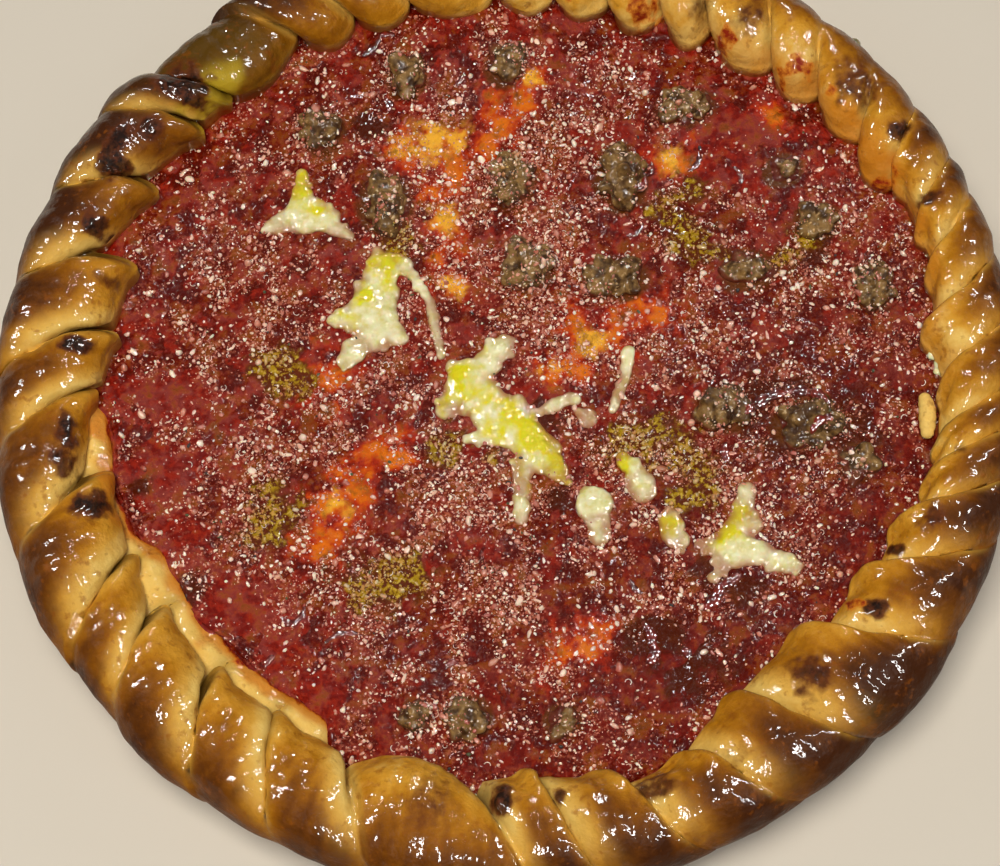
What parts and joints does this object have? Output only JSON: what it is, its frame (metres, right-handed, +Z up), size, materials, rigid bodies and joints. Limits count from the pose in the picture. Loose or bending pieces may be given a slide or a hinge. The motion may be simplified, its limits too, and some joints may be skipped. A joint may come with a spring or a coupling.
{
  "type": "deep dish pizza",
  "caption": "Whole uncut stuffed pizza with a thick crimped crust, a filling of red sauce, sausage lumps, melted and grated cheese.",
  "frame": {"origin": "middle of the flat base, which is the middle of the underside of the bounding box", "axes": "+Z up out of the sauce; the near side of the usual view is towards -Y, and +X is to its right"},
  "size_m": [0.3065, 0.3066, 0.0475],
  "materials": {
    "crust": "baked bread dough brushed with oil",
    "sauce": "wet cooked tomato sauce",
    "sausage": "crumbled cooked sausage, greasy",
    "cheese": "melted mozzarella"
  },
  "bodies": {
    "root": {"crust": "crust", "sauce": "sauce", "sausage_01": "sausage", "sausage_02": "sausage", "sausage_03": "sausage", "sausage_04": "sausage", "sausage_05": "sausage", "sausage_06": "sausage", "sausage_07": "sausage", "sausage_08": "sausage", "sausage_09": "sausage", "sausage_10": "sausage", "sausage_11": "sausage", "sausage_12": "sausage", "sausage_13": "sausage", "sausage_14": "sausage", "sausage_15": "sausage", "sausage_16": "sausage", "sausage_17": "sausage", "sausage_18": "sausage", "sausage_19": "sausage", "cheese_melt_01": "cheese", "cheese_melt_02": "cheese", "cheese_melt_03": "cheese", "cheese_melt_04": "cheese", "cheese_melt_05": "cheese", "cheese_melt_06": "cheese", "cheese_melt_07": "cheese", "cheese_melt_08": "cheese", "cheese_melt_09": "cheese", "cheese_melt_10": "cheese", "edge_drip": "cheese"}
  },
  "joints": []
}
